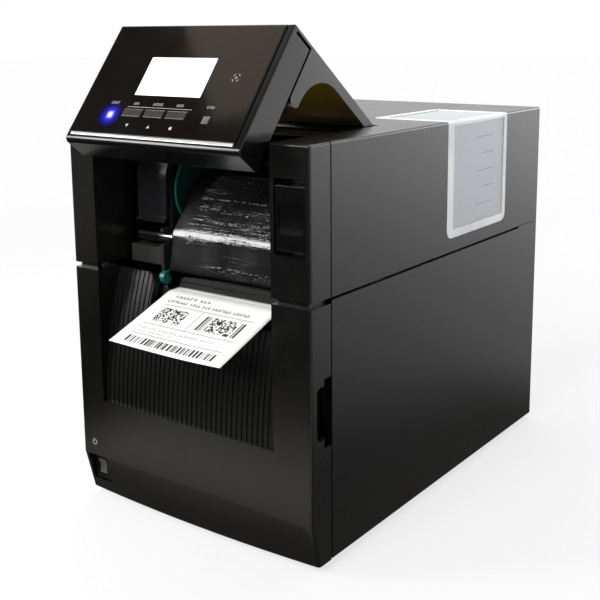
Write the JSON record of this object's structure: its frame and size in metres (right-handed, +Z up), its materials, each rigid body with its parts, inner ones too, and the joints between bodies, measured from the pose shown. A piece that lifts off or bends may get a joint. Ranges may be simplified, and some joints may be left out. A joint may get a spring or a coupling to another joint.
{
  "type": "label printer",
  "caption": "Desktop thermal-transfer label printer with a raised hinged operator panel, a lifting cover with a window, a side door and its ribbon and label path.",
  "frame": {"origin": "centre of the whole part's footprint, at the underside of the feet", "axes": "+X to the right of someone facing the front, +Y to the back, +Z up"},
  "size_m": [0.238, 0.4267, 0.3942],
  "materials": {
    "housing": "satin black housing plastic, fine texture",
    "hood_black": "smooth black plastic",
    "panel_gloss": "dark gloss operator panel",
    "inner_black": "dull black inner plastic",
    "rib_black": "ribbed dull black plastic",
    "window_frost": "frosted translucent white plastic",
    "silver_trim": "bright silver strip",
    "key_grey": "dark grey key caps",
    "lens_clear": "translucent indicator lenses",
    "screen": "lit white screen on a green circuit board",
    "button_black": "black release button",
    "rocker_black": "black rocker",
    "zinc_sheet": "dark coated sheet steel",
    "bright_steel": "ground steel shafts",
    "tear_steel": "stainless tear bar",
    "bearing_bronze": "sintered bearing rings",
    "head_aluminium": "cast head carrier",
    "head_ceramic": "glazed print head strip",
    "platen_rubber": "black platen rubber",
    "gear_white": "acetal gears",
    "teal": "teal-green plastic touch points",
    "film_black": "thin black ribbon film",
    "label_paper": "white label paper",
    "spool_grey": "grey spool plastic",
    "motor_steel": "black step motor can",
    "board_green": "green circuit board",
    "supply_case": "plated supply case",
    "port_shell": "socket shells",
    "foot_rubber": "rubber feet",
    "hinge_steel": "plated steel hinge",
    "screw_steel": "plated screws"
  },
  "bodies": {
    "base": {"base_chassis": "zinc_sheet", "rubber_feet": "foot_rubber", "centre_frame": "zinc_sheet", "outer_mech_plate": "zinc_sheet", "front_cover": "housing", "left_side_cover": "housing", "rear_cover": "housing", "ribbed_front_plate": "rib_black", "power_inlet": "port_shell", "interface_ports": "port_shell", "main_board": "board_green", "power_supply": "supply_case", "power_switch_bezel": "inner_black", "tear_bar": "tear_steel", "platen_bearings": "bearing_bronze", "feed_motor": "motor_steel", "guide_shafts": "bright_steel", "media_feed_plate": "inner_black", "media_web": "label_paper", "printed_label": "label_paper", "ribbon_film": "film_black", "ribbon_drive_cover": "inner_black", "head_side_block": "spool_grey", "media_shaft": "spool_grey", "hinge_brackets": "hinge_steel", "hinge_pins": "hinge_steel", "cover_screws": "screw_steel"},
    "power_rocker": {"power_switch_rocker": "rocker_black"},
    "platen": {"platen_shaft": "bright_steel", "platen_roller": "platen_rubber"},
    "idler": {"idler_gear": "gear_white"},
    "pinion": {"motor_pinion": "bearing_bronze"},
    "takeup": {"takeup_spindle": "spool_grey", "takeup_flange": "teal", "takeup_roll": "film_black"},
    "supply": {"supply_spindle": "spool_grey", "supply_roll": "film_black"},
    "media": {"media_hub": "spool_grey", "media_roll": "label_paper"},
    "flange": {"media_flange": "teal"},
    "guide": {"media_guide": "teal"},
    "head": {"print_head_block": "head_aluminium", "thermal_head": "head_ceramic"},
    "lever": {"head_lever": "teal"},
    "door": {"side_door": "housing"},
    "cover": {"top_cover": "housing", "top_window": "window_frost", "cover_hinge_leaves": "hinge_steel"},
    "release_button": {"open_button": "button_black"},
    "latch": {"latch_hook": "inner_black"},
    "hood": {"hood_flap": "hood_black", "panel_housing": "hood_black", "panel_glass": "panel_gloss", "lcd_module": "screen", "trim_strip": "silver_trim", "status_lenses": "lens_clear"},
    "key_1": {"key_left": "key_grey"},
    "key_2": {"key_middle": "key_grey"},
    "key_3": {"key_right": "key_grey"}
  },
  "joints": [
    {"name": "power_rocker_tilt", "type": "hinge", "parent": "base", "child": "power_rocker", "pos_m": [-0.10585, -0.16135, 0.02775], "axis": [1, 0, 0], "range_deg": [-16, 0]},
    {"name": "platen_spin", "type": "hinge", "parent": "base", "child": "platen", "pos_m": [0, -0.13135, 0.1776], "axis": [1, 0, 0], "continuous": true},
    {"name": "idler_spin", "type": "hinge", "parent": "base", "child": "idler", "pos_m": [-0.063, -0.1099, 0.1596], "axis": [1, 0, 0], "continuous": true},
    {"name": "pinion_spin", "type": "hinge", "parent": "base", "child": "pinion", "pos_m": [-0.063, -0.09258, 0.1496], "axis": [1, 0, 0], "continuous": true},
    {"name": "takeup_spin", "type": "hinge", "parent": "base", "child": "takeup", "pos_m": [0, -0.09535, 0.263], "axis": [1, 0, 0], "continuous": true},
    {"name": "supply_spin", "type": "hinge", "parent": "base", "child": "supply", "pos_m": [0, -0.01035, 0.258], "axis": [1, 0, 0], "continuous": true},
    {"name": "media_spin", "type": "hinge", "parent": "base", "child": "media", "pos_m": [0.014, 0.08665, 0.156], "axis": [1, 0, 0], "continuous": true},
    {"name": "flange_slide", "type": "slide", "parent": "base", "child": "flange", "axis": [1, 0, 0], "range_m": [0, 0.015]},
    {"name": "guide_slide", "type": "slide", "parent": "base", "child": "guide", "axis": [1, 0, 0], "range_m": [0, 0.0055]},
    {"name": "head_lift", "type": "hinge", "parent": "base", "child": "head", "pos_m": [0.014, -0.07735, 0.21], "axis": [-1, 0, 0], "range_deg": [0, 8]},
    {"name": "lever_turn", "type": "hinge", "parent": "base", "child": "lever", "pos_m": [-0.0485, -0.10535, 0.209], "axis": [-1, 0, 0], "range_deg": [0, 25]},
    {"name": "door_swing", "type": "hinge", "parent": "base", "child": "door", "pos_m": [0.111, 0.19665, 0.106], "axis": [0, 0, 1], "range_deg": [0, 90]},
    {"name": "cover_lift", "type": "hinge", "parent": "base", "child": "cover", "pos_m": [0, 0.20925, 0.2046], "axis": [-1, 0, 0], "range_deg": [0, 80]},
    {"name": "release_press", "type": "slide", "parent": "cover", "child": "release_button", "axis": [0, 1, 0], "range_m": [0, 0.002], "stiffness_N_per_m": 500},
    {"name": "latch_rock", "type": "hinge", "parent": "cover", "child": "latch", "pos_m": [0.101, -0.15135, 0.2385], "axis": [1, 0, 0], "range_deg": [-5, 0]},
    {"name": "hood_tilt", "type": "hinge", "parent": "cover", "child": "hood", "pos_m": [-0.004, -0.03835, 0.3105], "axis": [1, 0, 0], "range_deg": [0, 37.7]},
    {"name": "key_1_press", "type": "slide", "parent": "hood", "child": "key_1", "axis": [0, 0.7912, -0.6115], "range_m": [0, 0.0006], "stiffness_N_per_m": 400},
    {"name": "key_2_press", "type": "slide", "parent": "hood", "child": "key_2", "axis": [0, 0.7912, -0.6115], "range_m": [0, 0.0006], "stiffness_N_per_m": 400},
    {"name": "key_3_press", "type": "slide", "parent": "hood", "child": "key_3", "axis": [0, 0.7912, -0.6115], "range_m": [0, 0.0006], "stiffness_N_per_m": 400}
  ],
  "couplings": [
    {"joint": "idler_spin", "follows": "platen_spin", "ratio": -1.3333},
    {"joint": "pinion_spin", "follows": "platen_spin", "ratio": 2},
    {"joint": "lever_turn", "follows": "head_lift", "ratio": 3.125},
    {"joint": "latch_rock", "follows": "release_press", "rad_per_m": -40}
  ]
}
